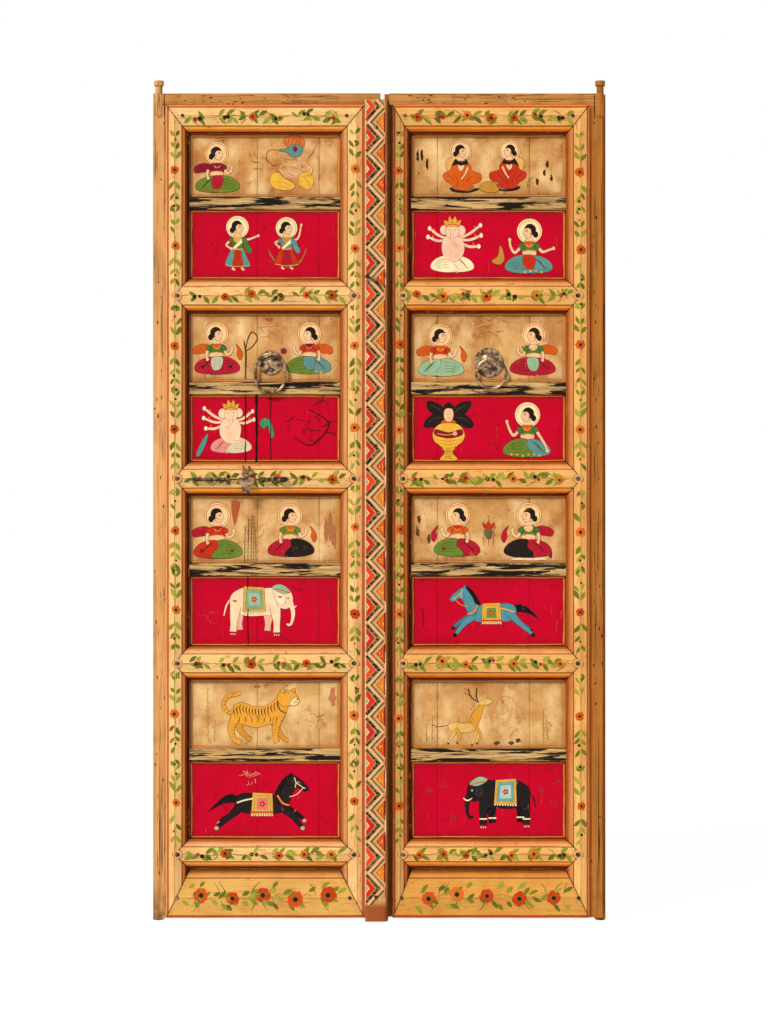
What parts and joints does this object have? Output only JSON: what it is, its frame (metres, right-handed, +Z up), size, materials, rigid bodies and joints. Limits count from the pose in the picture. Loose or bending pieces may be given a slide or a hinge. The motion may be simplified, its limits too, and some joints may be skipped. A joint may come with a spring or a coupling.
{
  "type": "carved temple door",
  "caption": "Pair of tall painted, panelled wooden door leaves on pivot posts, with a carved zigzag cover strip, ring pulls, a hasp and a latch bar.",
  "frame": {"origin": "under the middle of the closed pair, at floor level", "axes": "+Z up, +X to the right seen from the front, the painted front faces -Y and the leaves open towards +Y"},
  "size_m": [1.135, 0.088, 2.109],
  "materials": {
    "bare_wood": "old bare hardwood, dry, split and hand worn",
    "cream_paint": "cream distemper paint with orange mouldings, flowers and leaves, worn",
    "panel_paint": "planks painted with cream and crimson fields and simple figures, worn and cracked",
    "bar_paint": "black paint worn back to grey and cream grain",
    "strip_paint": "carved zigzag painted cream, black, red and orange, worn",
    "old_iron": "hand forged iron, dark brown, rubbed brighter on the edges"
  },
  "bodies": {
    "floor_pintles": {"left_floor_pintle": "old_iron", "right_floor_pintle": "old_iron"},
    "left_leaf": {"left_post": "bare_wood", "left_head_rail": "bare_wood", "left_meeting_stile": "bare_wood", "left_sill_rail": "bare_wood", "left_ledge_upper": "bare_wood", "left_ledge_lower": "bare_wood", "left_plank_outer": "panel_paint", "left_plank_middle": "panel_paint", "left_plank_inner": "panel_paint", "left_outer_stile": "cream_paint", "left_inner_stile": "cream_paint", "left_top_rail": "cream_paint", "left_upper_rail": "cream_paint", "left_lock_rail": "cream_paint", "left_lower_rail": "cream_paint", "left_kick_rail": "cream_paint", "left_bottom_rail": "cream_paint", "left_bars": "bar_paint", "left_nails": "old_iron", "left_pull_plate": "old_iron", "left_pull_eye": "old_iron", "cover_strip": "strip_paint", "cover_strip_nails": "old_iron", "strip_hook": "old_iron", "latch_bar": "old_iron", "hasp_staple": "old_iron"},
    "right_leaf": {"right_post": "bare_wood", "right_head_rail": "bare_wood", "right_meeting_stile": "bare_wood", "right_sill_rail": "bare_wood", "right_ledge_upper": "bare_wood", "right_ledge_lower": "bare_wood", "right_plank_outer": "panel_paint", "right_plank_middle": "panel_paint", "right_plank_inner": "panel_paint", "right_outer_stile": "cream_paint", "right_inner_stile": "cream_paint", "right_top_rail": "cream_paint", "right_upper_rail": "cream_paint", "right_lock_rail": "cream_paint", "right_lower_rail": "cream_paint", "right_kick_rail": "cream_paint", "right_bottom_rail": "cream_paint", "right_bars": "bar_paint", "right_nails": "old_iron", "right_pull_plate": "old_iron", "right_pull_eye": "old_iron"},
    "left_ring": {"left_pull_ring": "old_iron"},
    "right_ring": {"right_pull_ring": "old_iron"},
    "hasp": {"hasp": "old_iron"}
  },
  "joints": [
    {"name": "left_swing", "type": "hinge", "parent": "floor_pintles", "child": "left_leaf", "pos_m": [-0.555, 0.02, 0], "axis": [0, 0, 1], "range_deg": [0, 100]},
    {"name": "right_swing", "type": "hinge", "parent": "floor_pintles", "child": "right_leaf", "pos_m": [0.555, 0.02, 0], "axis": [0, 0, -1], "range_deg": [0, 100]},
    {"name": "left_ring_lift", "type": "hinge", "parent": "left_leaf", "child": "left_ring", "pos_m": [-0.2735, -0.008, 1.421], "axis": [-1, 0, 0], "range_deg": [0, 150]},
    {"name": "right_ring_lift", "type": "hinge", "parent": "right_leaf", "child": "right_ring", "pos_m": [0.2745, -0.008, 1.408], "axis": [-0.9903, 0, -0.1392], "range_deg": [0, 150]},
    {"name": "hasp_lift", "type": "hinge", "parent": "left_leaf", "child": "hasp", "pos_m": [-0.3325, -0.0285, 1.1175], "axis": [-1, 0, 0], "range_deg": [0, 110]}
  ]
}
